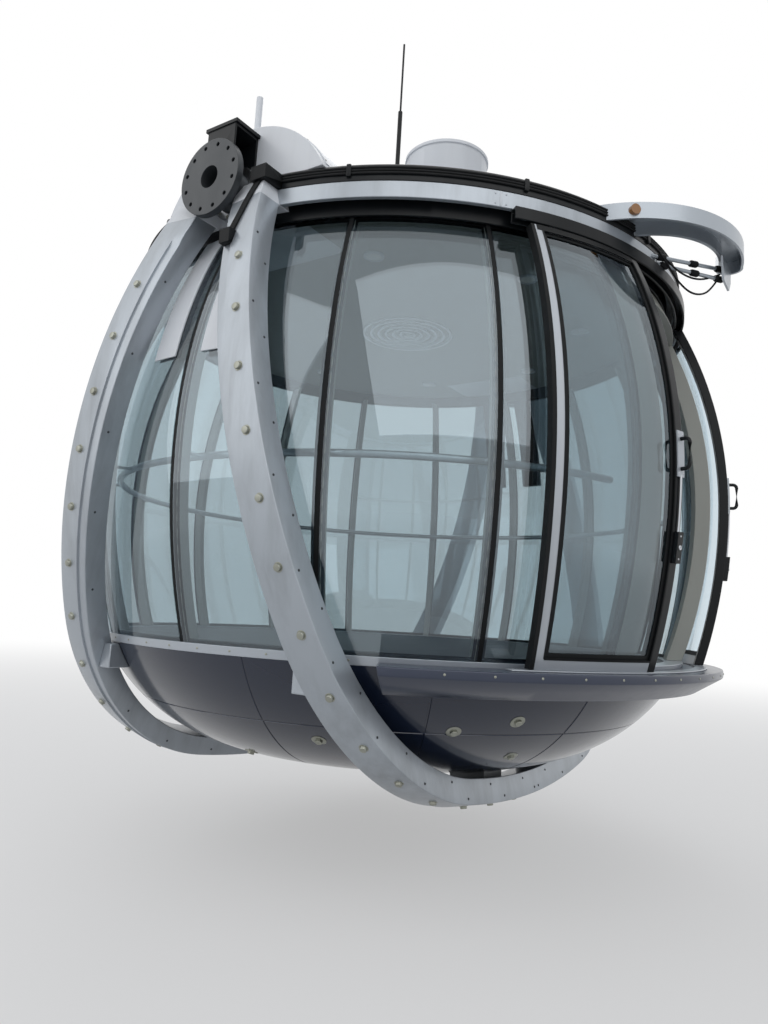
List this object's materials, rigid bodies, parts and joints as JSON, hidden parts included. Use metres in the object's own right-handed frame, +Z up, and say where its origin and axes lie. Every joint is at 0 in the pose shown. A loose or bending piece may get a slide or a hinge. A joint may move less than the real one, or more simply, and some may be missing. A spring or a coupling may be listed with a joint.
{
  "type": "cable car cabin",
  "caption": "Round panoramic glass capsule with sliding doors, carried between two side pivots by leaning hoop beams under its belly.",
  "frame": {"origin": "middle of the pivot axis between the two trunnion flanges", "axes": "+X along the pivot axis towards the far trunnion, +Z up with the cabin level, the doorway faces -Y"},
  "size_m": [4.324, 4.2836, 4.4375],
  "materials": {
    "steel_paint": "dark grey machinery paint, satin",
    "white_paint": "off-white gloss paint, lightly weathered",
    "silver_paint": "silver metallic paint, satin",
    "black_paint": "black paint, satin",
    "navy_paint": "dark metallic grey-blue paint, clear coated",
    "bright_metal": "brushed stainless steel",
    "window_glass": "lightly tinted laminated glass",
    "black_rubber": "black sealing rubber, matte",
    "beige_trim": "beige interior lining, matte",
    "floor_covering": "grey studded floor covering",
    "ceiling_panel": "pale ceiling lining, matte",
    "amber_lens": "amber lamp lens"
  },
  "bodies": {
    "arm_trunnions": {"trunnion_near": "steel_paint", "trunnion_far": "steel_paint"},
    "cabin": {"bearing_collars": "bright_metal", "belly_bowl": "navy_paint", "belly_saddles": "steel_paint", "cabin_posts": "beige_trim", "cable_band": "black_paint", "cable_lead": "black_rubber", "ceiling": "ceiling_panel", "docking_arm": "silver_paint", "docking_lamp": "amber_lens", "door_header": "beige_trim", "door_jambs": "beige_trim", "door_ledge": "navy_paint", "drive_box_far": "black_paint", "drive_box_near": "black_paint", "duct_covers": "silver_paint", "floor_deck": "floor_covering", "handrail": "bright_metal", "hoop_back": "silver_paint", "hoop_brackets": "silver_paint", "hoop_front": "silver_paint", "hub_far": "white_paint", "hub_near": "white_paint", "lower_track": "bright_metal", "mast": "white_paint", "rim_band": "silver_paint", "roof_shell": "white_paint", "roof_soffit": "black_paint", "roof_upstand": "white_paint", "sill_ring": "silver_paint", "upper_track": "black_paint", "whip_antenna": "black_paint", "window_joints": "black_rubber", "window_panes": "window_glass"},
    "leaf_near": {"leaf_near_edge": "black_paint", "leaf_near_frame": "silver_paint", "leaf_near_glass": "window_glass", "leaf_near_handle": "steel_paint", "leaf_near_seal": "black_rubber"},
    "leaf_far": {"leaf_far_edge": "black_paint", "leaf_far_frame": "silver_paint", "leaf_far_glass": "window_glass", "leaf_far_handle": "steel_paint", "leaf_far_seal": "black_rubber"}
  },
  "joints": [
    {"name": "level_pivot", "type": "hinge", "parent": "arm_trunnions", "child": "cabin", "pos_m": [0, 0, 0], "axis": [1, 0, 0], "range_deg": [-100, 15]},
    {"name": "leaf_near_slide", "type": "hinge", "parent": "cabin", "child": "leaf_near", "pos_m": [0, 0, 0], "axis": [0, 0, 1], "range_deg": [0, 17.3]},
    {"name": "leaf_far_slide", "type": "hinge", "parent": "cabin", "child": "leaf_far", "pos_m": [0, 0, 0], "axis": [0, 0, 1], "range_deg": [-17.3, 0]}
  ]
}
